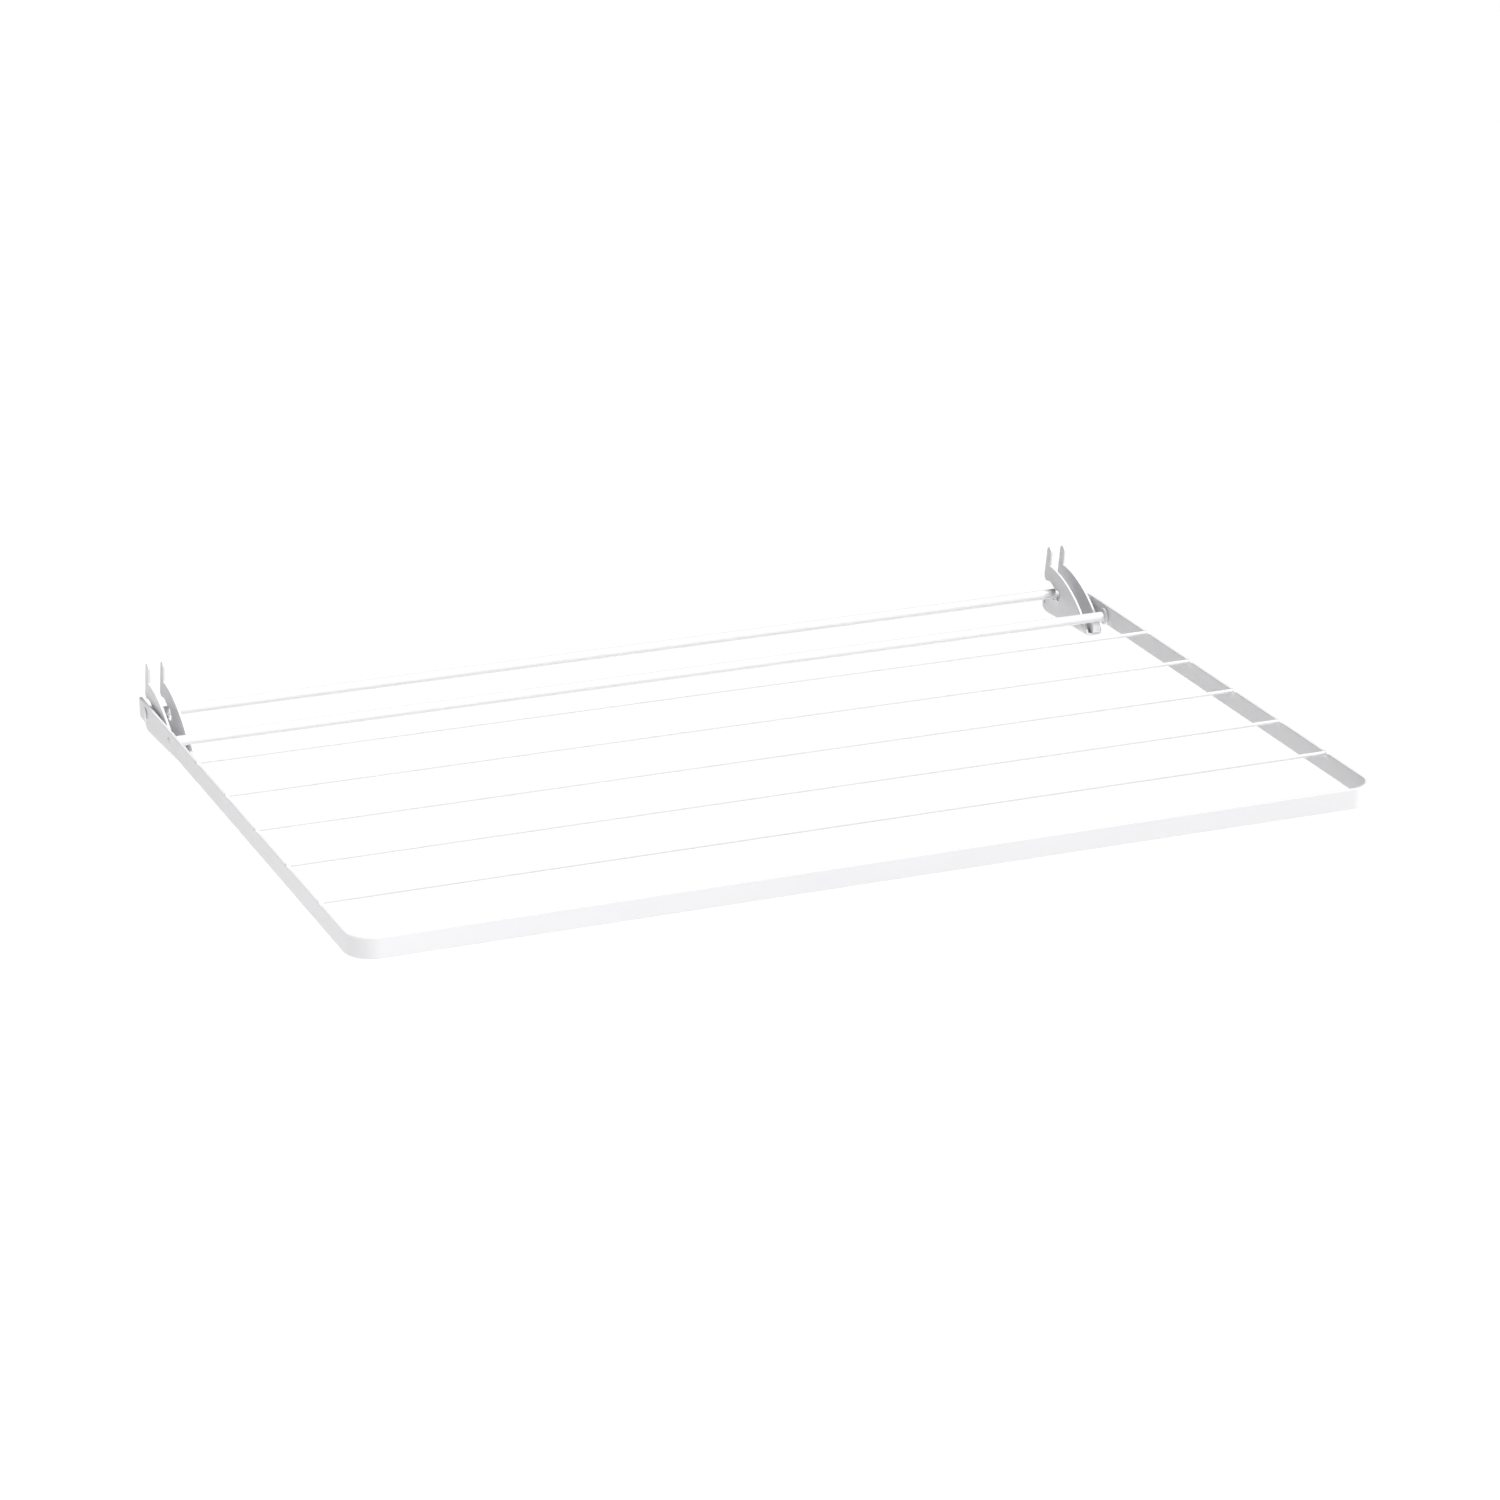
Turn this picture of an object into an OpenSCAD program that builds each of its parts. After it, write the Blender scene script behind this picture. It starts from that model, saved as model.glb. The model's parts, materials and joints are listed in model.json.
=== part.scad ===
// Wall mounted folding drying rack: a flat bar frame with five drying wires turns on a
// pivot rod that lies in the slots of two hook-in wall brackets, and a second rod rests on
// the plastic saddles in the bracket noses.
// Row frame: +X to the right, +Y to the wall, +Z up. Y = 0 is the wall plane, Z = 0 is the
// height of the pivot rod, and X = 0 is the middle of the rack.

/* [Frame] */
// Width over the flat bar
rack_w = 800; // [500:10:1100]
// Distance from the wall to the front of the flat bar
reach = 535; // [350:5:700]
// Height of the flat bar
bar_h = 16; // [14:1:24]
// Thickness of the flat bar
bar_t = 2.5; // [2:0.5:4]
// Outer radius of the two front bends
corner_r = 21; // [12:1:60]
// Gap between the rail ends and the wall
rail_wall_gap = 2.5; // [1.5:0.5:6]
// Radius of the rounded lower corner at each rail end
rail_toe_r = 4; // [1:0.5:6]

/* [Wires] */
// Diameter of the drying wires
wire_d = 3; // [2:0.5:4]
// How far a wire sinks into its welded seat, beyond a plain touch
weld_sink = 0.05; // [0.02:0.01:0.1]

/* [Rods] */
// Diameter of the pivot rod and the stop rod
rod_d = 8; // [6:0.5:10]
// Diameter of the turned-down rod ends that pass through the rails
journal_d = 6; // [4:0.5:7]
// Distance of the pivot rod from the wall
pivot_back = 20; // [19.5:0.5:24]
// Distance of the stop rod from the wall, with the rack seated
stop_back = 83.75; // [70:0.25:105]
// How far the stop rod lies below the pivot rod
stop_drop = 1.6; // [0:0.1:3]
// Diameter of the washers on the pivot rod
pivot_washer_d = 12; // [11:0.5:14]
// Diameter of the washers on the stop rod
stop_washer_d = 14; // [11:0.5:16]
// Thickness of the push-on caps at the pivot rod ends
cap_t = 1.4; // [1:0.1:2.5]
// Diameter of the push-on caps
cap_d = 10; // [8:0.5:13]

/* [Brackets] */
// Thickness of the bracket sheet
sheet_t = 2; // [1.5:0.5:3]
// Outside width of the bracket channel
channel_w = 14; // [12:1:20]
// Gap between a bracket and the inner face of its rail
side_gap = 2.5; // [2:0.5:5]
// How far the rack pulls forward along the slots
pull_travel = 8; // [6:0.5:12]
// Height of the bracket's crown above the pivot rod
crown_top = 21.8; // [19:0.2:26]
// Depth of the bracket's rear foot below the pivot rod
foot_drop = 21.2; // [18:0.2:26]
// How much higher the underside is at the nose than at the foot
nose_rise = 4; // [2:0.5:6]
// Height of the hook prongs above the pivot rod
prong_top = 37.4; // [32:0.2:45]
// Width of a hook prong, front to back
prong_w = 7.2; // [6:0.2:9]
// Outer radius of the sheet bends along the underside
bend_r = 3; // [2:0.5:4]

/* [Saddles] */
// Width of the plastic saddle between the two cheeks
saddle_w = 6.4; // [4:0.2:8]
// Diameter of the rivet through each saddle
rivet_d = 4; // [3:0.5:5]
// Diameter of the rivet heads
rivet_head_d = 7; // [6:0.5:8]
// Thickness of the rivet heads
rivet_head_t = 1; // [0.6:0.1:1.5]
// Diameter of the locking pin hole in each rear foot
lock_hole_d = 3.2; // [2:0.2:4]

/* [Clearances] */
// Radial running clearance of the pivot rod ends in the rails
journal_gap = 0.05; // [0.02:0.01:0.1]
// Gap between faces that move past each other
slide_gap = 0.3; // [0.2:0.05:0.6]
// Side play of the stop rod's washers past the brackets
washer_play = 0.5; // [0.3:0.1:1]
// Play of the pivot rod under the bracket arm
slot_gap = 0.4; // [0.3:0.05:0.8]
// Extra depth of the slot below the pivot rod
slot_floor_gap = 1; // [0.6:0.1:1.6]
// Radial interference of pressed pieces
press = 0.02; // [0.01:0.01:0.05]

/* [Hidden] */
$fn = 64;
eps = 0.01;
through = 5;

powder_white = [0.95, 0.95, 0.96];
plastic_white = [0.90, 0.90, 0.92];

// Frame
rail_inner_x = rack_w / 2 - bar_t;
rail_end_y = -rail_wall_gap;
front_mid_y = -reach + bar_t / 2;

// Rods, seen from the side as [y, z]
rod_r = rod_d / 2;
pivot_at = [-pivot_back, 0];
stop_at = [-stop_back, -stop_drop];
pivot_shoulder_x = rail_inner_x - slide_gap;
journal_end_x = rack_w / 2 + slide_gap + cap_t / 2;
stop_washer_t = side_gap - washer_play;
stop_shoulder_x = rail_inner_x - stop_washer_t;
peen_t = 0.8;
peen_d = journal_d + 2;
head_taper = 2.5;

// Wires stand at one pitch between the stop rod and the front bar
wire_count = 5;
wire_pitch = (-stop_back - front_mid_y) / (wire_count + 1);

// Bracket channel, built about its own middle plane
bracket_x = rail_inner_x - side_gap - channel_w / 2;
cheek_in = channel_w / 2 - sheet_t;
nose_y = -stop_back + 0.25;
nose_top_z = -stop_drop - 11.4;
foot_chamfer = [9, 4.2];
underside_slope = atan(nose_rise / (-foot_chamfer[0] - nose_y));
// The crown is an arc that is level over the prong root and runs down to the nose
crown_y = -6.3;
crown_run = crown_y - nose_y;
crown_fall = crown_top - nose_top_z;
crown_r = (crown_run * crown_run + crown_fall * crown_fall) / (2 * crown_fall);
// Prong, from its heel up to its rounded tip
prong_heel = [-6.9, 11.6];
prong_heel_r = 4.3;
prong_tip = [-10.2, prong_top - prong_w / 2];
prong_root_y = -12.4;
// Slot for the pivot rod, open to the wall under the arm
slot_floor_z = -rod_r - slot_floor_gap;
slot_roof_z = rod_r + slot_gap;
pocket_r = (slot_roof_z - slot_floor_z) / 2;
pocket_at = [-pivot_back - pull_travel - slot_gap + pocket_r - rod_r, (slot_roof_z + slot_floor_z) / 2];
// Arch over the seated pivot rod
arch_at = [pivot_at[0] + 8, -6];
arch_r = norm(pivot_at - arch_at) + rod_r + slide_gap;
// Saddle and its rivet
cradle_r = rod_r + slide_gap;
cradle_ramp = 45;
cradle_lip = 0.8;
saddle_front_y = -stop_back - 1;
saddle_back_y = -stop_back + 19;
rivet_at = [-stop_back + 10, -stop_drop - 11];
lock_at = [-4.5, -11];

// A solid drawn from the side as (y, z) and given a width along X from x0 to x1
module side_solid(x0, x1) {
  translate([x0, 0, 0]) rotate([90, 0, 90]) linear_extrude(x1 - x0) children();
}

// A round bar along X from x0 to x1 at the side position at = [y, z]
module cross_bar(at, d, x0, x1) {
  translate([x0, at[0], at[1]]) rotate([0, 90, 0]) cylinder(d = d, h = x1 - x0);
}

// The right-hand copy of a piece, or its mirror image on the left
module on_side(side) {
  if (side == "right") children();
  else mirror([1, 0, 0]) children();
}

function wire_y(k) = front_mid_y + k * wire_pitch;
function underside_z(y) = -foot_drop + (-foot_chamfer[0] - y) * tan(underside_slope);

// ---- wall brackets ----

// Outline of one cheek without its slot: crown, nose, underside and rear foot
module cheek_body() {
  intersection() {
    translate([crown_y, crown_top - crown_r]) circle(r = crown_r, $fn = 180);
    polygon([
      [nose_y, crown_top + 1], [nose_y, underside_z(nose_y)], [-foot_chamfer[0], -foot_drop],
      [0, -foot_drop + foot_chamfer[1]], [0, crown_top + 1]
    ]);
  }
}

// The upright prong that hooks behind the face of the slotted wall rail
module prong() {
  translate(prong_tip) circle(d = prong_w);
  translate(prong_heel) circle(r = prong_heel_r);
  polygon([
    [prong_root_y, crown_top - 1], prong_tip - [prong_w / 2, 0], prong_tip + [prong_w / 2, 0],
    prong_heel + [prong_heel_r, 0], prong_heel - [prong_heel_r, prong_heel_r]
  ]);
}

// Everything that is open behind the arm: the arch, the slot and the space behind the prong
module slot_opening() {
  translate([pocket_at[0], slot_floor_z]) square([-pocket_at[0] + through, slot_roof_z - slot_floor_z]);
  translate(pocket_at) circle(r = pocket_r);
  intersection() {
    translate(arch_at) circle(r = arch_r);
    translate([arch_at[0] - arch_r, slot_floor_z]) square([2 * arch_r, 2 * arch_r]);
  }
  translate([prong_heel[0], slot_floor_z])
    square([through - prong_heel[0], prong_heel[1] - slot_floor_z]);
  heel_back = prong_heel + [prong_heel_r, 0];
  tip_back = prong_tip + [prong_w / 2, 0];
  polygon([
    [heel_back[0], slot_floor_z], heel_back, tip_back, [through, tip_back[1]], [through, slot_floor_z]
  ]);
}

module cheek() {
  difference() {
    cheek_body();
    slot_opening();
  }
  difference() {
    prong();
    translate(arch_at) circle(r = arch_r);
  }
}

// The folded bottom of the channel
module web() {
  web_back_y = -foot_chamfer[0];
  polygon([
    [nose_y, underside_z(nose_y)], [web_back_y, -foot_drop],
    [web_back_y, -foot_drop + sheet_t], [nose_y, underside_z(nose_y) + sheet_t]
  ]);
}

// What the outer bend radius takes off one lower edge of the channel
module bend_relief() {
  run = -foot_chamfer[0] - nose_y + 2 * through;
  translate([channel_w / 2, -foot_chamfer[0], -foot_drop])
    rotate([-underside_slope, 0, 0]) translate([-bend_r, through - run, 0]) difference() {
      translate([0, 0, -bend_r]) cube([2 * bend_r, run, 2 * bend_r]);
      translate([0, -through, bend_r]) rotate([-90, 0, 0]) cylinder(r = bend_r, h = run + 2 * through);
      translate([-bend_r, -through, 0]) cube([bend_r, run + 2 * through, 2 * bend_r]);
    }
}

module bracket(side) {
  color(powder_white) on_side(side) translate([bracket_x, 0, 0]) difference() {
    union() {
      side_solid(-channel_w / 2, -cheek_in) cheek();
      side_solid(cheek_in, channel_w / 2) cheek();
      side_solid(-channel_w / 2, channel_w / 2) web();
    }
    bend_relief();
    mirror([1, 0, 0]) bend_relief();
    cross_bar(rivet_at, rivet_d, -channel_w, channel_w);
    cross_bar(lock_at, lock_hole_d, -channel_w, channel_w);
  }
}

// Plastic saddle: supports the stop rod from below and behind, and is open to the front
module saddle_outline() {
  shelf_z = -stop_drop - cradle_r;
  ramp_way = [cos(cradle_ramp), sin(cradle_ramp)];
  lip = stop_at + cradle_r * [ramp_way[1], -ramp_way[0]] + cradle_lip * ramp_way;
  base_z = underside_z(saddle_back_y) + sheet_t;
  front_base_z = underside_z(nose_y) + sheet_t;
  polygon([
    [saddle_front_y, shelf_z], [saddle_front_y, front_base_z + 1], [nose_y, front_base_z],
    [saddle_back_y, base_z], [saddle_back_y, lip[1] - 3], [lip[0] + 3, lip[1]], lip,
    [cradle_r * tan(cradle_ramp / 2) - stop_back, shelf_z]
  ]);
}

module saddle(side) {
  color(plastic_white) on_side(side) translate([bracket_x, 0, 0]) difference() {
    side_solid(cheek_in - saddle_w, cheek_in) saddle_outline();
    cross_bar(rivet_at, rivet_d, -channel_w, channel_w);
  }
}

// Rivet through both cheeks and the saddle, with a low domed head on each side
module saddle_rivet(side) {
  color(powder_white) on_side(side) translate([bracket_x, 0, 0]) {
    cross_bar(rivet_at, rivet_d, -channel_w / 2 - eps, channel_w / 2 + eps);
    for (flip = [0, 1]) mirror([flip, 0, 0])
      translate([channel_w / 2, rivet_at[0], rivet_at[1]]) rotate([0, 90, 0])
        cylinder(d1 = rivet_head_d, d2 = rivet_head_d - head_taper, h = rivet_head_t);
  }
}

// ---- pivot rod ----

module pivot_rod() {
  color(powder_white) {
    cross_bar(pivot_at, rod_d, -pivot_shoulder_x, pivot_shoulder_x);
    cross_bar(pivot_at, journal_d, -journal_end_x, journal_end_x);
  }
}

// A flat ring on a rod, between x0 and x1
module ring(at, outer_d, hole_d, x0, x1) {
  difference() {
    cross_bar(at, outer_d, x0, x1);
    cross_bar(at, hole_d, x0 - 1, x1 + 1);
  }
}

module pivot_washer(side) {
  color(plastic_white) on_side(side)
    ring(pivot_at, pivot_washer_d, rod_d - 2 * press, rail_inner_x - side_gap + slide_gap, pivot_shoulder_x);
}

module pivot_cap(side) {
  cap_x = rack_w / 2 + slide_gap;
  color(plastic_white) on_side(side) difference() {
    translate([cap_x, pivot_at[0], pivot_at[1]]) rotate([0, 90, 0]) {
      cylinder(d = cap_d, h = cap_t / 2);
      translate([0, 0, cap_t / 2]) cylinder(d1 = cap_d, d2 = cap_d - 2, h = cap_t / 2);
    }
    cross_bar(pivot_at, journal_d - 2 * press, cap_x - 1, journal_end_x);
  }
}

// ---- rack ----

// Plan of the bent bar: two rails, two quarter bends and the front bar
module bar_plan() {
  inner_r = corner_r - bar_t;
  bend_x = rack_w / 2 - corner_r;
  bend_y = -reach + corner_r;
  for (flip = [0, 1]) mirror([flip, 0]) {
    translate([rail_inner_x, bend_y]) square([bar_t, rail_end_y - bend_y]);
    translate([bend_x, bend_y]) intersection() {
      difference() {
        circle(r = corner_r);
        circle(r = inner_r);
      }
      translate([0, -corner_r]) square(corner_r);
    }
  }
  translate([-bend_x, -reach]) square([2 * bend_x, bar_t]);
}

// What rounds the lower corner at both rail ends
module toe_relief() {
  side_solid(-rack_w, rack_w) difference() {
    translate([rail_end_y - rail_toe_r, -bar_h / 2 - 1]) square([rail_toe_r + 1, rail_toe_r + 1]);
    translate([rail_end_y - rail_toe_r, -bar_h / 2 + rail_toe_r]) circle(r = rail_toe_r);
  }
}

module frame() {
  color(powder_white) difference() {
    translate([0, 0, -bar_h / 2]) linear_extrude(bar_h) bar_plan();
    toe_relief();
    for (k = [1 : wire_count])
      cross_bar([wire_y(k), bar_h / 2], wire_d - 2 * weld_sink, -rack_w, rack_w);
    cross_bar(pivot_at, journal_d + 2 * journal_gap, -rack_w, rack_w);
    cross_bar(stop_at, journal_d - 2 * press, -rack_w, rack_w);
  }
}

module wire(k) {
  color(powder_white) cross_bar([wire_y(k), bar_h / 2], wire_d, -rack_w / 2, rack_w / 2);
}

// The stop rod, with shouldered ends peened over on the outside of the rails
module stop_rod() {
  color(powder_white) {
    cross_bar(stop_at, rod_d, -stop_shoulder_x, stop_shoulder_x);
    cross_bar(stop_at, journal_d, -rack_w / 2 - eps, rack_w / 2 + eps);
    for (flip = [0, 1]) mirror([flip, 0, 0])
      translate([rack_w / 2, stop_at[0], stop_at[1]]) rotate([0, 90, 0])
        cylinder(d1 = peen_d, d2 = peen_d - head_taper, h = peen_t);
  }
}

module stop_washer(side) {
  color(plastic_white) on_side(side)
    ring(stop_at, stop_washer_d, journal_d - 2 * press, stop_shoulder_x, rail_inner_x);
}

bracket("left");  // left_bracket
bracket("right");  // right_bracket
saddle("left");  // left_saddle
saddle("right");  // right_saddle
saddle_rivet("left");  // left_saddle_rivet
saddle_rivet("right");  // right_saddle_rivet
pivot_rod();
pivot_washer("left");  // left_pivot_washer
pivot_washer("right");  // right_pivot_washer
pivot_cap("left");  // left_pivot_cap
pivot_cap("right");  // right_pivot_cap
frame();
wire(1);  // wire_1
wire(2);  // wire_2
wire(3);  // wire_3
wire(4);  // wire_4
wire(5);  // wire_5
stop_rod();
stop_washer("left");  // left_stop_washer
stop_washer("right");  // right_stop_washer
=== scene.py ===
"""Wall mounted fold down drying rack in white powder coat, on two hook-in brackets."""

import json
from math import cos, pi, radians, sin

import bpy
from mathutils import Matrix, Vector


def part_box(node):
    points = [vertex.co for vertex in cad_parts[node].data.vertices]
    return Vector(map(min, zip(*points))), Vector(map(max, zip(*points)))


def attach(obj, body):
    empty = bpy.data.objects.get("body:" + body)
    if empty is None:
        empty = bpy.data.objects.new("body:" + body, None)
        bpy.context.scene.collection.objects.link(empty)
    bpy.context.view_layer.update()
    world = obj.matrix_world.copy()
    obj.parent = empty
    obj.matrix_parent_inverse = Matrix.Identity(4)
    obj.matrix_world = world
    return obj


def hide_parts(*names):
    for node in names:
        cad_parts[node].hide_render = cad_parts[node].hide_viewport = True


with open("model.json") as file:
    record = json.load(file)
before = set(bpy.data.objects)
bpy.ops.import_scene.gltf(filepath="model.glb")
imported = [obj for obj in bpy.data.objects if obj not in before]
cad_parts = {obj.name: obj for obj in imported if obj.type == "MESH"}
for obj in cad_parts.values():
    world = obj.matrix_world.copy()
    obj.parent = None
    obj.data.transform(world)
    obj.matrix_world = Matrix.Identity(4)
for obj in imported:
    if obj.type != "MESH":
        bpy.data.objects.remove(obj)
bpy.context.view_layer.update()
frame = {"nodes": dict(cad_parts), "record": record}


# ---- Studio ----
# The rack hangs in the open, most of a metre over a pale floor, under a broad overhead
# light, with a weak softbox in front, one low on the right and a low fill on the left.
def look_along(turn, tip, roll=0.0):
    """A turn from straight ahead to the right, a tip down, and a roll about the line of sight."""
    heading = Matrix.Rotation(-turn, 4, "Z") @ Matrix.Rotation(pi / 2 - tip, 4, "X")
    return heading @ Matrix.Rotation(roll, 4, "Z")


def softbox(name, place, aim, size, power):
    bpy.ops.object.light_add(type="AREA", location=place)
    box = bpy.context.object
    box.name = name
    box.data.shape = "RECTANGLE"
    box.data.size, box.data.size_y = size
    box.data.energy = power
    box.rotation_euler = (Vector(aim) - Vector(place)).to_track_quat("-Z", "Y").to_euler()
    box.visible_camera = False


bpy.ops.object.select_all(action="DESELECT")
bpy.ops.object.camera_add()
camera = bpy.context.object
camera.name = "studio_camera"
camera.matrix_world = (
    Matrix.Translation((-1.3333, -3.4976, 1.3019))
    @ look_along(radians(22.511), radians(20.438), radians(0.162))
)
camera.data.sensor_width = 36.0
camera.data.lens = 117.49
camera.data.clip_end = 200.0
bpy.context.scene.camera = camera

floor_drop = 0.9
floor_width = 120.0
bpy.ops.mesh.primitive_plane_add(size=floor_width, location=(0, 0, -floor_drop))
floor = bpy.context.object
floor.name = "studio_floor"
floor_paint = bpy.data.materials.new("pale_floor")
floor_paint.use_nodes = True
floor_shader = floor_paint.node_tree.nodes["Principled BSDF"]
floor_shader.inputs["Base Color"].default_value = (0.84, 0.84, 0.84, 1)
floor_shader.inputs["Roughness"].default_value = 0.9
floor_shader.inputs["Specular IOR Level"].default_value = 0.0
floor.data.materials.append(floor_paint)

bpy.ops.object.light_add(type="SUN", location=(0, 0, 3))
overhead = bpy.context.object
overhead.name = "overhead_light"
overhead.data.energy = 4.2
overhead.data.angle = radians(30)
overhead.rotation_euler = Vector((0.38, -0.42, 1)).to_track_quat("Z", "Y").to_euler()

softbox("front_softbox", (0.9, -3.2, 0.7), (0.1, -0.5, 0), (2.4, 1.8), 9)
softbox("right_softbox", (1.7, 0.0, 0.12), (0.2, -0.1, 0.05), (1.2, 0.5), 16)
softbox("left_fill", (-0.98, -0.5, 0.2), (-0.4, -0.35, 0), (1.2, 0.7), 2.9)

world = bpy.data.worlds.new("studio_room")
world.use_nodes = True
bpy.context.scene.world = world
room = world.node_tree
room_light = room.nodes["Background"]
room_light.inputs["Color"].default_value = (0.97, 0.98, 1.0, 1)
room_light.inputs["Strength"].default_value = 0.05
backdrop = room.nodes.new("ShaderNodeBackground")
backdrop.inputs["Color"].default_value = (1, 1, 1, 1)
eye = room.nodes.new("ShaderNodeLightPath")
chooser = room.nodes.new("ShaderNodeMixShader")
room.links.new(eye.outputs["Is Camera Ray"], chooser.inputs["Fac"])
room.links.new(room_light.outputs["Background"], chooser.inputs[1])
room.links.new(backdrop.outputs["Background"], chooser.inputs[2])
room.links.new(chooser.outputs["Shader"], room.nodes["World Output"].inputs["Surface"])
bpy.context.scene.view_settings.view_transform = "Standard"


# ---- Wall brackets ----
# Two channels folded from 2 mm steel sheet, each with a pair of upright prongs that hook
# into a slotted wall rail. The blank is cut, folded along both lower edges and powder
# coated, so nearly every cut edge is slightly rounded and the coat lies thinner there.
cut_edge_r = 0.00035
inner_fold_r = 0.001
bracket_sheet = 0.002
weld_gap = 0.00012
hair = 0.00001


def coat_nodes(material, colour, rough, peel_size, peel_height, grain_height, tint):
    """Sprayed or moulded white finish: soft orange peel, fine grain and a faint drift of tone."""
    tree = material.node_tree
    shader = tree.nodes["Principled BSDF"]
    place = tree.nodes.new("ShaderNodeTexCoord")

    def noise(feature, detail):
        node = tree.nodes.new("ShaderNodeTexNoise")
        node.inputs["Scale"].default_value = 1 / feature
        node.inputs["Detail"].default_value = detail
        tree.links.new(place.outputs["Object"], node.inputs["Vector"])
        return node

    drift = noise(0.09, 2)
    tone = tree.nodes.new("ShaderNodeMix")
    tone.data_type = "RGBA"
    tone.inputs["A"].default_value = (*colour, 1)
    tone.inputs["B"].default_value = (*[c * t for c, t in zip(colour, tint)], 1)
    tree.links.new(drift.outputs["Fac"], tone.inputs["Factor"])
    tree.links.new(tone.outputs["Result"], shader.inputs["Base Color"])

    patches = noise(0.012, 3)
    gloss = tree.nodes.new("ShaderNodeMapRange")
    gloss.inputs["From Min"].default_value = 0.3
    gloss.inputs["From Max"].default_value = 0.7
    gloss.inputs["To Min"].default_value = rough - 0.05
    gloss.inputs["To Max"].default_value = rough + 0.06
    tree.links.new(patches.outputs["Fac"], gloss.inputs["Value"])
    tree.links.new(gloss.outputs["Result"], shader.inputs["Roughness"])

    peel = tree.nodes.new("ShaderNodeBump")
    peel.inputs["Distance"].default_value = peel_height
    tree.links.new(noise(peel_size, 2).outputs["Fac"], peel.inputs["Height"])
    grain = tree.nodes.new("ShaderNodeBump")
    grain.inputs["Distance"].default_value = grain_height
    tree.links.new(noise(0.0004, 1).outputs["Fac"], grain.inputs["Height"])
    tree.links.new(peel.outputs["Normal"], grain.inputs["Normal"])
    tree.links.new(grain.outputs["Normal"], shader.inputs["Normal"])
    return shader


powder_coat = bpy.data.materials.new("white_powder_coat")
powder_coat.use_nodes = True
coat_nodes(powder_coat, (0.765, 0.765, 0.775), 0.42, 0.0017, 0.00003, 0.000004, (0.97, 0.97, 0.975))

thin_coat = bpy.data.materials.new("thin_coat_on_edges")
thin_coat.use_nodes = True
coat_nodes(thin_coat, (0.76, 0.76, 0.76), 0.36, 0.0012, 0.000012, 0.000003, (0.94, 0.94, 0.935))


def work_on(piece):
    """Selects one piece alone and opens it for editing."""
    if bpy.context.object and bpy.context.object.mode == "EDIT":
        bpy.ops.object.mode_set(mode="OBJECT")
    bpy.ops.object.select_all(action="DESELECT")
    piece.select_set(True)
    bpy.context.view_layer.objects.active = piece
    bpy.ops.object.mode_set(mode="EDIT")


def pick_edges(piece, wanted):
    """In edit mode, selects the edges whose two end points the test accepts."""
    bpy.ops.mesh.select_mode(type="EDGE")
    bpy.ops.mesh.select_all(action="DESELECT")
    bpy.ops.object.mode_set(mode="OBJECT")
    points = piece.data.vertices
    for edge in piece.data.edges:
        a, b = (points[i].co for i in edge.vertices)
        edge.select = wanted(a, b)
    bpy.ops.object.mode_set(mode="EDIT")


def across(*places):
    """Cutting planes square to the rails, one at each Y."""
    return [((0, y, 0), (0, 1, 0)) for y in places]


def square_faces(piece, planes):
    """Cuts a piece at each plane, and clears all other edges out of its flat faces."""
    work_on(piece)
    for place, facing in planes:
        bpy.ops.mesh.select_all(action="SELECT")
        bpy.ops.mesh.bisect(plane_co=place, plane_no=facing)
        bpy.ops.mesh.mark_seam()
    bpy.ops.mesh.select_all(action="SELECT")
    bpy.ops.mesh.dissolve_limited(angle_limit=radians(0.4), delimit={"SEAM"})


def blank_from(node, name, planes):
    """A welded copy of the cut blank, with whole flat faces between the cuts."""
    piece = bpy.data.objects.new(name, frame["nodes"][node].data.copy())
    piece.data.name = name
    bpy.context.scene.collection.objects.link(piece)
    work_on(piece)
    bpy.ops.mesh.select_all(action="SELECT")
    bpy.ops.mesh.remove_doubles(threshold=weld_gap)
    square_faces(piece, planes)
    return piece


def shade_evenly(piece, crease=40):
    """Shades a piece smooth, its broad faces flat right up to their rounded edges."""
    bpy.ops.object.mode_set(mode="OBJECT")
    bpy.ops.object.select_all(action="DESELECT")
    piece.select_set(True)
    bpy.context.view_layer.objects.active = piece
    bpy.ops.object.shade_smooth_by_angle(angle=radians(crease))
    evening = piece.modifiers.new("flat_faces", "WEIGHTED_NORMAL")
    evening.keep_sharp = True
    bpy.ops.object.modifier_apply(modifier=evening.name)
    cutting = piece.modifiers.new("short_triangles", "TRIANGULATE")
    cutting.min_vertices = 5
    cutting.ngon_method = "BEAUTY"
    cutting.keep_custom_normals = True
    bpy.ops.object.modifier_apply(modifier=cutting.name)


def soften_edges(piece, radius, rounds, sharp=28, edge_material=-1, stays_square=None):
    """Rounds the sharp edges, apart from those that the test says stay square."""
    work_on(piece)
    bpy.ops.mesh.select_mode(type="EDGE")
    bpy.ops.mesh.select_all(action="DESELECT")
    bpy.ops.mesh.edges_select_sharp(sharpness=radians(sharp))
    bpy.ops.object.mode_set(mode="OBJECT")
    for edge in piece.data.edges:
        a, b = (piece.data.vertices[i].co for i in edge.vertices)
        if stays_square and stays_square(a, b):
            edge.select = False
    bpy.ops.object.mode_set(mode="EDIT")
    bpy.ops.mesh.bevel(offset=radius, segments=rounds, affect="EDGES", material=edge_material)
    shade_evenly(piece)


def mirrored(piece, name):
    """The other hand of a piece, across the middle of the rack."""
    bpy.ops.object.mode_set(mode="OBJECT")
    other = bpy.data.objects.new(name, piece.data.copy())
    other.data.name = name
    bpy.context.scene.collection.objects.link(other)
    work_on(other)
    bpy.ops.mesh.select_all(action="SELECT")
    bpy.ops.transform.resize(value=(-1, 1, 1), center_override=(0, 0, 0))
    bpy.ops.mesh.normals_make_consistent(inside=False)
    bpy.ops.object.mode_set(mode="OBJECT")
    return other


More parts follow.
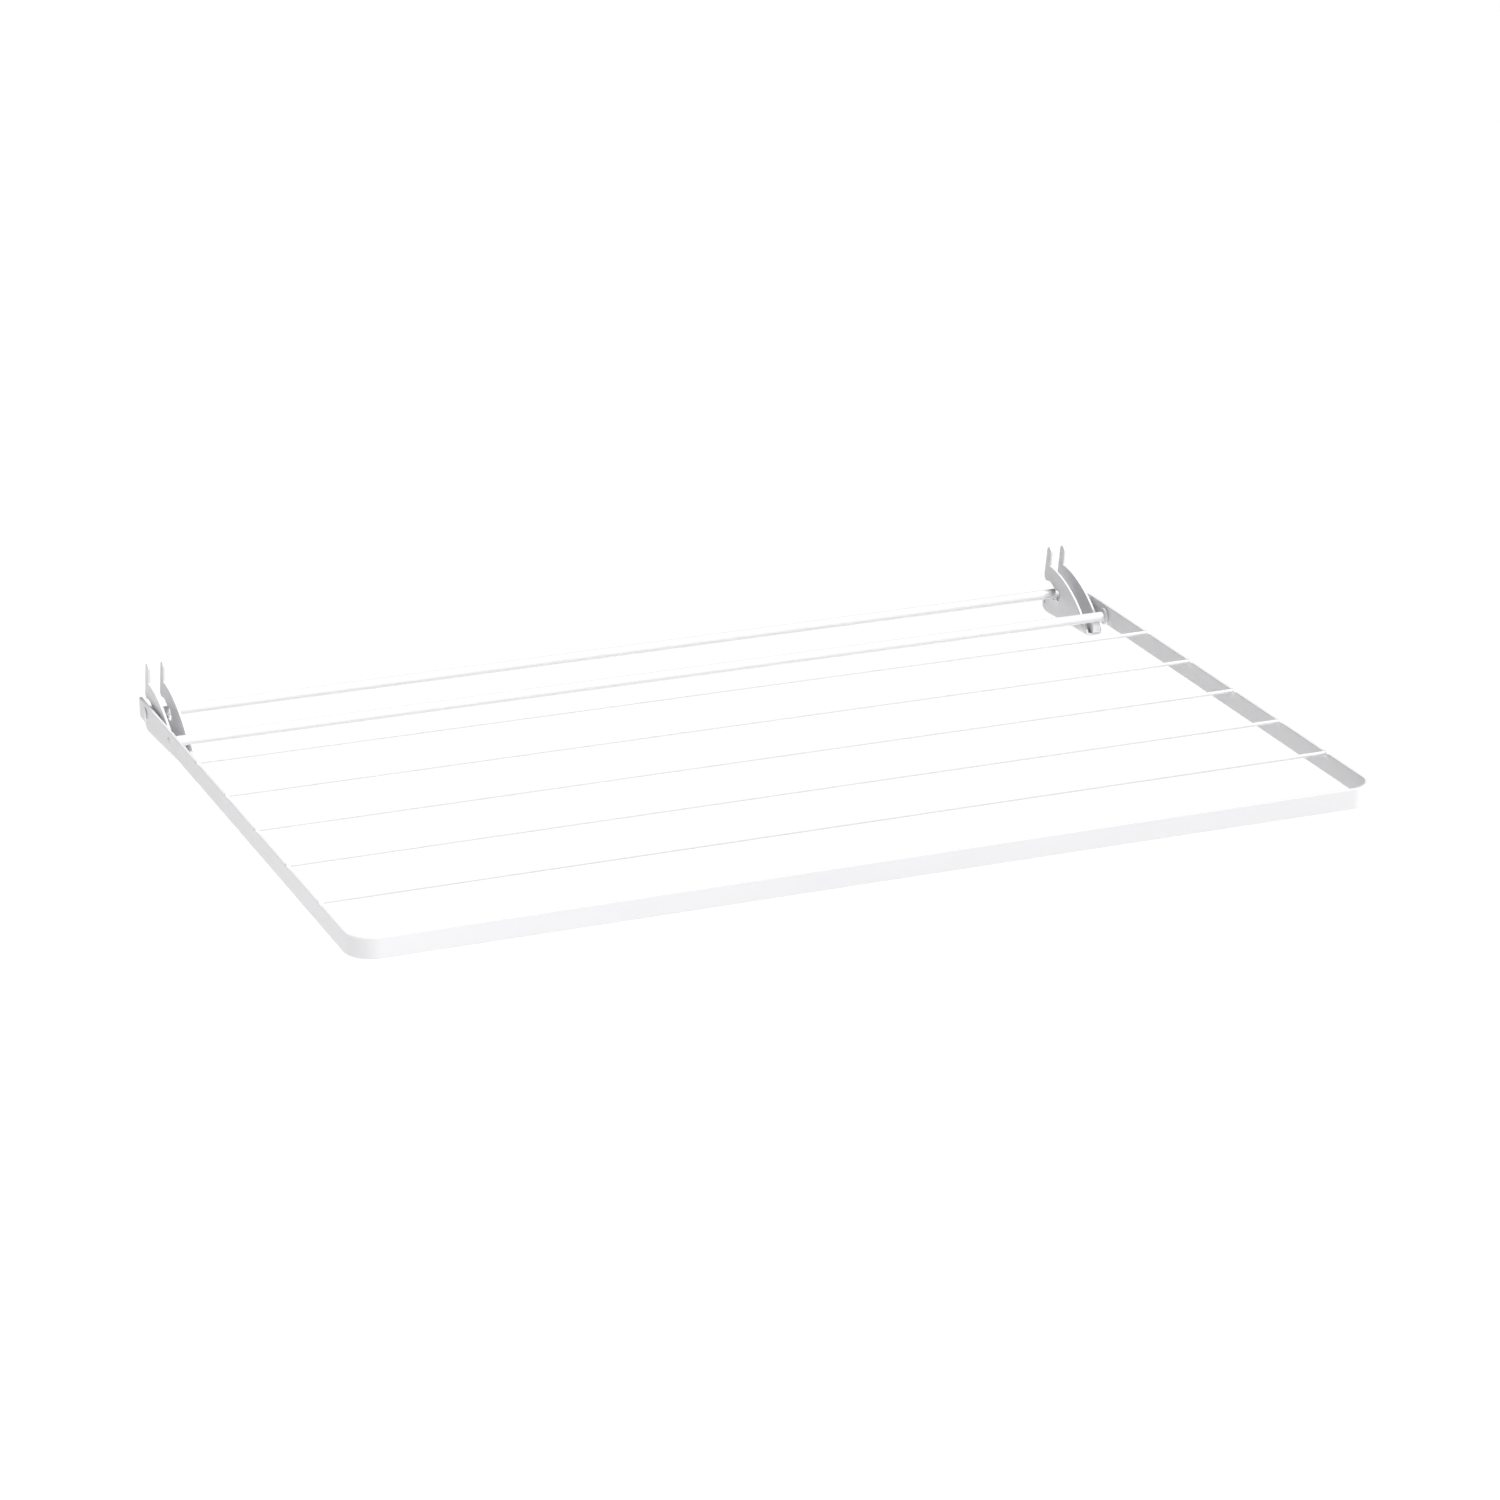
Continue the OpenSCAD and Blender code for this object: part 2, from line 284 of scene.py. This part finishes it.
def finish_in(piece, *materials):
    piece.data.materials.clear()
    for material in materials:
        piece.data.materials.append(material)


low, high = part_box("right_bracket")
inner_walls = (low.x + bracket_sheet, high.x - bracket_sheet)
shortest_fold = 0.005
fold_start_y = -0.0085
fold_top_z = -0.012


def on_inner_fold(a, b):
    along = abs(a.y - b.y) > shortest_fold and abs(a.x - b.x) < hair
    low_down = max(a.z, b.z) < fold_top_z and max(a.y, b.y) < fold_start_y
    return along and low_down and any(abs(a.x - wall) < hair for wall in inner_walls)


lock_hole = (0, -0.0045, -0.011)
nearly_level = (0, 0.01, 1)
rivet_hole_low, rivet_hole_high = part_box("right_saddle_rivet")
rivet_hole = ((rivet_hole_low + rivet_hole_high) / 2).yz
rivet_hole_reach = 0.0022
foot_front_y = -0.0096
foot_top_z = -0.0168
flank_cuts = (-0.035, -0.055)


def under_rivet_or_at_foot(a, b):
    at_hole = all((p.yz - rivet_hole).length < rivet_hole_reach for p in (a, b))
    at_foot = all(p.y > foot_front_y and p.z < foot_top_z for p in (a, b))
    return at_hole or at_foot


right_bracket = blank_from(
    "right_bracket", "right_folded_bracket",
    across(*flank_cuts, rivet_hole.x) + [(lock_hole, nearly_level)],
)
pick_edges(right_bracket, on_inner_fold)
bpy.ops.mesh.bevel(offset=inner_fold_r, segments=4, affect="EDGES")
left_bracket = mirrored(right_bracket, "left_folded_bracket")

for side, bracket in (("left", left_bracket), ("right", right_bracket)):
    finish_in(bracket, powder_coat, thin_coat)
    soften_edges(bracket, cut_edge_r, 2, edge_material=1, stays_square=under_rivet_or_at_foot)
    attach(bracket, "wall_brackets")
    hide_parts(f"{side}_bracket")


# ---- Saddles ----
# A moulded white plastic insert in each bracket nose. It carries the stop rod from below
# and behind, stands against the outer cheek, and has the soft edges of a mould.
moulded_edge_r = 0.0004

white_plastic = bpy.data.materials.new("white_moulded_plastic")
white_plastic.use_nodes = True
plastic_shader = coat_nodes(
    white_plastic, (0.80, 0.80, 0.81), 0.46, 0.0009, 0.000008, 0.000004, (0.97, 0.97, 0.97)
)
plastic_shader.inputs["Subsurface Weight"].default_value = 0.12
plastic_shader.inputs["Subsurface Radius"].default_value = (1.0, 0.9, 0.8)
plastic_shader.inputs["Subsurface Scale"].default_value = 0.0006

right_saddle = blank_from("right_saddle", "right_moulded_saddle", across(rivet_hole.x))
left_saddle = mirrored(right_saddle, "left_moulded_saddle")

for side, saddle in (("left", left_saddle), ("right", right_saddle)):
    finish_in(saddle, white_plastic)
    soften_edges(saddle, moulded_edge_r, 3, stays_square=under_rivet_or_at_foot)
    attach(saddle, "wall_brackets")
    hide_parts(f"{side}_saddle")


# ---- Saddle rivets ----
# One painted steel rivet through both cheeks and the saddle. Its shank fills the hole and
# each head is a low dome, pressed flat against the sheet.
rivet_paint = bpy.data.materials.new("painted_rivet_steel")
rivet_paint.use_nodes = True
coat_nodes(rivet_paint, (0.80, 0.80, 0.81), 0.34, 0.0014, 0.00001, 0.000002, (0.95, 0.95, 0.95))


def turned_bar(name, centre, x0, x1, radius, sides=48):
    """A round bar along X, its two flat ends still square."""
    bpy.ops.object.select_all(action="DESELECT")
    middle = ((x0 + x1) / 2, centre[0], centre[1])
    bpy.ops.mesh.primitive_cylinder_add(
        vertices=sides, radius=radius, depth=x1 - x0, location=middle, rotation=(0, pi / 2, 0)
    )
    bar = bpy.context.object
    bar.name = name
    bar.data.name = name
    bpy.ops.object.transform_apply(location=True, rotation=True, scale=True)
    return bar


def pick_end(piece, x):
    """In edit mode, selects the faces that lie flat at that X."""
    bpy.ops.mesh.select_mode(type="FACE")
    bpy.ops.mesh.select_all(action="DESELECT")
    bpy.ops.object.mode_set(mode="OBJECT")
    for face in piece.data.polygons:
        face.select = abs(face.normal.x) > 0.99 and abs(face.center.x - x) < hair
    bpy.ops.object.mode_set(mode="EDIT")


rivet_head_h = 0.001
rivet_shank_r = 0.002
dome_steps = 5
rim_share = 0.25
dome_share = 0.75

for side in ("left", "right"):
    low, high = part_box(f"{side}_saddle_rivet")
    centre = ((low.y + high.y) / 2, (low.z + high.z) / 2)
    head_r = (high.z - low.z) / 2
    rivet = turned_bar(
        f"{side}_domed_rivet", centre, low.x + rivet_head_h, high.x - rivet_head_h, rivet_shank_r
    )
    work_on(rivet)
    for end, out in ((low.x + rivet_head_h, -1), (high.x - rivet_head_h, 1)):
        pick_end(rivet, end)
        bpy.ops.mesh.extrude_region_move(TRANSFORM_OT_translate={"value": (0, 0, 0)})
        grow = head_r / rivet_shank_r
        bpy.ops.transform.resize(value=(1, grow, grow))
        reached = 0.0
        for step in range(1, dome_steps + 1):
            lean = step / dome_steps * pi / 2
            rise = rivet_head_h * (rim_share + dome_share * sin(lean))
            bpy.ops.mesh.extrude_region_move(
                TRANSFORM_OT_translate={"value": (out * (rise - reached), 0, 0)}
            )
            last_lean = lean - pi / 2 / dome_steps
            narrowing = rim_share + dome_share * cos(lean)
            narrowing /= rim_share + dome_share * cos(last_lean)
            bpy.ops.transform.resize(value=(1, narrowing, narrowing))
            reached = rise
    bpy.ops.object.mode_set(mode="OBJECT")
    bpy.ops.object.shade_smooth_by_angle(angle=radians(50))
    finish_in(rivet, rivet_paint)
    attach(rivet, "wall_brackets")
    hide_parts(f"{side}_saddle_rivet")


# ---- Pivot rod ----
# An 8 mm steel rod across the whole rack that lies in both bracket slots. Its ends are
# turned down to 6 mm where they pass through the rails, with a small chamfer at each step.
shoulder_chamfer = 0.00035


def shouldered_rod(name, centre, radius, shoulder_x, tip_r, tip_x, material):
    """A coated rod with a turned-down end on both sides."""
    rod = turned_bar(name, centre, -shoulder_x, shoulder_x, radius)
    work_on(rod)
    for out in (-1, 1):
        pick_end(rod, out * shoulder_x)
        bpy.ops.mesh.inset(thickness=radius - tip_r)
        bpy.ops.mesh.extrude_region_move(
            TRANSFORM_OT_translate={"value": (out * (tip_x - shoulder_x), 0, 0)}
        )
    finish_in(rod, material)
    soften_edges(rod, shoulder_chamfer, 2, sharp=35)
    return rod


pivot_low, pivot_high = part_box("pivot_rod")
pivot_centre = ((pivot_low.y + pivot_high.y) / 2, (pivot_low.z + pivot_high.z) / 2)
pivot_washer_low, pivot_washer_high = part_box("right_pivot_washer")
journal_r = 0.003
pivot_rod = shouldered_rod(
    "coated_pivot_rod", pivot_centre, (pivot_high.z - pivot_low.z) / 2,
    pivot_washer_high.x, journal_r, pivot_high.x, powder_coat,
)
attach(pivot_rod, "pivot_rod")
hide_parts("pivot_rod")


# ---- Washers ----
# Moulded plastic rings: a pair on the pivot rod beside the brackets, and a wider pair
# pressed over the stop rod ends against the rails. Their rims are rounded by the mould.
washer_rim_r = 0.00045
pivot_ring_bore_r = 0.00398
stop_ring_bore_r = 0.00298


def moulded_ring(name, node, bore_r, body):
    low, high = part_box(node)
    centre = ((low.y + high.y) / 2, (low.z + high.z) / 2)
    rim_r = (high.z - low.z) / 2
    ring = turned_bar(name, centre, low.x, high.x, rim_r, sides=72)
    work_on(ring)
    for end in (low.x, high.x):
        pick_end(ring, end)
        bpy.ops.mesh.inset(thickness=rim_r - bore_r)
    bpy.ops.object.mode_set(mode="OBJECT")
    for face in ring.data.polygons:
        spread = max((ring.data.vertices[i].co.yz - Vector(centre)).length for i in face.vertices)
        face.select = abs(face.normal.x) > 0.99 and spread < bore_r * 1.01
    bpy.ops.object.mode_set(mode="EDIT")
    bpy.ops.mesh.bridge_edge_loops()
    finish_in(ring, white_plastic)
    soften_edges(ring, washer_rim_r, 3)
    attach(ring, body)
    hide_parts(node)


for side in ("left", "right"):
    moulded_ring(f"{side}_pivot_ring", f"{side}_pivot_washer", pivot_ring_bore_r, "pivot_rod")
    moulded_ring(f"{side}_stop_ring", f"{side}_stop_washer", stop_ring_bore_r, "rack")


# ---- Pivot caps ----
# A push-on plastic cap closes each end of the pivot rod outside the rail. It has a soft
# domed rim and a shallow round dimple where the mould was filled.
cap_rim_r = 0.0008
dimple_r = 0.0014
dimple_depth = 0.0002
dimple_edge_r = 0.00012

for side, out in (("left", -1), ("right", 1)):
    low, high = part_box(f"{side}_pivot_cap")
    centre = ((low.y + high.y) / 2, (low.z + high.z) / 2)
    cap_r = (high.z - low.z) / 2
    cap = turned_bar(f"{side}_push_on_cap", centre, low.x, high.x, cap_r, sides=64)
    face_x = high.x if out > 0 else low.x
    work_on(cap)
    pick_end(cap, face_x)
    bpy.ops.mesh.bevel(offset=cap_rim_r, segments=5, affect="EDGES")
    pick_end(cap, face_x)
    bpy.ops.mesh.inset(thickness=cap_r - cap_rim_r - dimple_r)
    bpy.ops.mesh.inset(thickness=dimple_depth)
    bpy.ops.transform.translate(value=(-out * dimple_depth, 0, 0))
    finish_in(cap, white_plastic)
    soften_edges(cap, dimple_edge_r, 2, sharp=50)
    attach(cap, "pivot_rod")
    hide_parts(f"{side}_pivot_cap")


# ---- Bar frame ----
# One 16 by 2.5 mm steel flat, bent round at both front corners into two rails and a front
# bar. The rails are drilled for the two rods and their lower rear corners are rounded off.
bar_low, bar_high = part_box("frame")
bar_thick = 0.0025
bend_r = 0.021
toe_r = 0.004
rolled_edge_r = 0.0006
bend_steps = 24
hole_gap = 0.00005
rail_cuts = (-0.05, -0.15, -0.25, -0.35, -0.45)

rail_x = bar_high.x - bar_thick / 2
bend_x = bar_high.x - bend_r
bend_y = bar_low.y + bend_r
bpy.ops.object.select_all(action="DESELECT")
bpy.ops.mesh.primitive_plane_add(size=1, location=(-rail_x, bar_high.y, 0), rotation=(pi / 2, 0, 0))
bar = bpy.context.object
bar.name = "bent_bar_frame"
bar.data.name = "bent_bar_frame"
bpy.ops.object.transform_apply(location=True, rotation=True, scale=True)
work_on(bar)
bpy.ops.mesh.select_all(action="SELECT")
bpy.ops.transform.resize(value=(bar_thick, 1, bar_high.z - bar_low.z))
bpy.ops.mesh.extrude_region_move(TRANSFORM_OT_translate={"value": (0, bend_y - bar_high.y, 0)})
bpy.ops.mesh.spin(steps=bend_steps, angle=-pi / 2, center=(-bend_x, bend_y, 0), axis=(0, 0, 1))
bpy.ops.mesh.extrude_region_move(TRANSFORM_OT_translate={"value": (2 * bend_x, 0, 0)})
bpy.ops.mesh.spin(steps=bend_steps, angle=-pi / 2, center=(bend_x, bend_y, 0), axis=(0, 0, 1))
bpy.ops.mesh.extrude_region_move(TRANSFORM_OT_translate={"value": (0, bar_high.y - bend_y, 0)})
bpy.ops.mesh.select_all(action="SELECT")
bpy.ops.mesh.remove_doubles(threshold=weld_gap)
bpy.ops.mesh.normals_make_consistent(inside=False)


def on_toe(a, b):
    return all(abs(p.y - bar_high.y) < hair and abs(p.z - bar_low.z) < hair for p in (a, b))


pick_edges(bar, on_toe)
bpy.ops.mesh.bevel(offset=toe_r, segments=10, affect="EDGES")
bpy.ops.object.mode_set(mode="OBJECT")

stop_low, stop_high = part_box("stop_rod")
stop_centre = ((stop_low.y + stop_high.y) / 2, (stop_low.z + stop_high.z) / 2)
for centre, hole_r in ((pivot_centre, journal_r + hole_gap), (stop_centre, journal_r)):
    drill = turned_bar("drill", centre, bar_low.x - 0.01, bar_high.x + 0.01, hole_r)
    bpy.ops.object.select_all(action="DESELECT")
    bar.select_set(True)
    bpy.context.view_layer.objects.active = bar
    hole = bar.modifiers.new("rod_hole", "BOOLEAN")
    hole.operation = "DIFFERENCE"
    hole.object = drill
    bpy.ops.object.modifier_apply(modifier=hole.name)
    bpy.data.objects.remove(drill)

square_faces(bar, across(pivot_centre[0], rail_cuts[0], stop_centre[0], *rail_cuts[1:]))
finish_in(bar, powder_coat, thin_coat)
soften_edges(bar, rolled_edge_r, 3, edge_material=1)
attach(bar, "rack")
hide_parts("frame")


# ---- Drying wires ----
# Five straight 3 mm steel wires from rail to rail. They are sheared to length, so the ends
# are flat with a slightly rolled rim, and are coated together with the frame.
sheared_rim_r = 0.00035
wires = [name for name in frame["record"]["behaviour"]["bodies"]["rack"] if name.startswith("wire_")]

for wire_node in wires:
    low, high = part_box(wire_node)
    centre = ((low.y + high.y) / 2, (low.z + high.z) / 2)
    wire = turned_bar(f"drying_{wire_node}", centre, low.x, high.x, (high.z - low.z) / 2, sides=28)
    finish_in(wire, powder_coat)
    soften_edges(wire, sheared_rim_r, 3, sharp=50)
    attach(wire, "rack")
    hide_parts(wire_node)


# ---- Welds ----
# Each wire is resistance welded into the top of both rails. The squeezed-out metal leaves
# a small smooth fillet round the wire, and the powder coat runs over it without a break.
weld_reach = 0.0022
weld_grain = 0.0003
weld_swell = 0.00035
weld_inset = 0.0001

wire_low, wire_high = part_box(wires[0])
wire_r = (wire_high.z - wire_low.z) / 2
weld_y = (wire_low.y + wire_high.y) / 2
bpy.ops.object.select_all(action="DESELECT")
bpy.ops.mesh.primitive_cube_add(size=1, location=(rail_x, weld_y, bar_high.z - wire_r))
weld_block = bpy.context.object
weld_block.scale = (bar_thick + 2 * weld_swell, 2 * (wire_r + weld_reach), 2 * wire_r)
bpy.ops.object.transform_apply(location=True, rotation=True, scale=True)
stub = turned_bar(
    "stub", (weld_y, (wire_low.z + wire_high.z) / 2),
    rail_x - bar_thick / 2 - weld_reach / 2, bar_high.x - weld_inset, wire_r + weld_swell,
)
weld_block.select_set(True)
bpy.context.view_layer.objects.active = weld_block
bpy.ops.object.join()
melt = weld_block.modifiers.new("melt", "REMESH")
melt.mode = "VOXEL"
melt.voxel_size = weld_grain
bpy.ops.object.modifier_apply(modifier=melt.name)
flow = weld_block.modifiers.new("flow", "SMOOTH")
flow.factor = 0.5
flow.iterations = 14
bpy.ops.object.modifier_apply(modifier=flow.name)
bpy.ops.object.shade_smooth()
finish_in(weld_block, powder_coat)

for wire_node in wires:
    low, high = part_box(wire_node)
    shift = (low.y + high.y) / 2 - weld_y
    for side, flip in (("left", -1), ("right", 1)):
        weld = bpy.data.objects.new(f"{side}_weld_{wire_node}", weld_block.data.copy())
        weld.data.name = weld.name
        bpy.context.scene.collection.objects.link(weld)
        work_on(weld)
        bpy.ops.mesh.select_all(action="SELECT")
        bpy.ops.transform.translate(value=(0, shift, 0))
        if flip < 0:
            bpy.ops.transform.resize(value=(-1, 1, 1), center_override=(0, 0, 0))
            bpy.ops.mesh.normals_make_consistent(inside=False)
        bpy.ops.object.mode_set(mode="OBJECT")
        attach(weld, "rack")
bpy.data.objects.remove(weld_block)


# ---- Stop rod ----
# The second 8 mm rod, fixed between the rails. Its turned-down ends go through the rails
# and are peened over on the outside into low round heads.
stop_shoulder_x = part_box("right_stop_washer")[0].x
peen_r = 0.004
peen_h = stop_high.x - bar_high.x
stop_rod = turned_bar(
    "coated_stop_rod", stop_centre, -stop_shoulder_x, stop_shoulder_x, (stop_high.z - stop_low.z) / 2
)
work_on(stop_rod)
for out in (-1, 1):
    pick_end(stop_rod, out * stop_shoulder_x)
    bpy.ops.mesh.inset(thickness=(stop_high.z - stop_low.z) / 2 - journal_r)
    bpy.ops.mesh.extrude_region_move(
        TRANSFORM_OT_translate={"value": (out * (bar_high.x - stop_shoulder_x), 0, 0)}
    )
    bpy.ops.mesh.extrude_region_move(TRANSFORM_OT_translate={"value": (0, 0, 0)})
    bpy.ops.transform.resize(value=(1, peen_r / journal_r, peen_r / journal_r))
    for share, narrowing in ((0.35, 0.97), (0.3, 0.88), (0.22, 0.74), (0.13, 0.5)):
        bpy.ops.mesh.extrude_region_move(
            TRANSFORM_OT_translate={"value": (out * share * peen_h, 0, 0)}
        )
        bpy.ops.transform.resize(value=(1, narrowing, narrowing))
bpy.ops.object.mode_set(mode="OBJECT")
bpy.ops.object.shade_smooth_by_angle(angle=radians(45))
finish_in(stop_rod, powder_coat)
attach(stop_rod, "rack")
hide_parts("stop_rod")
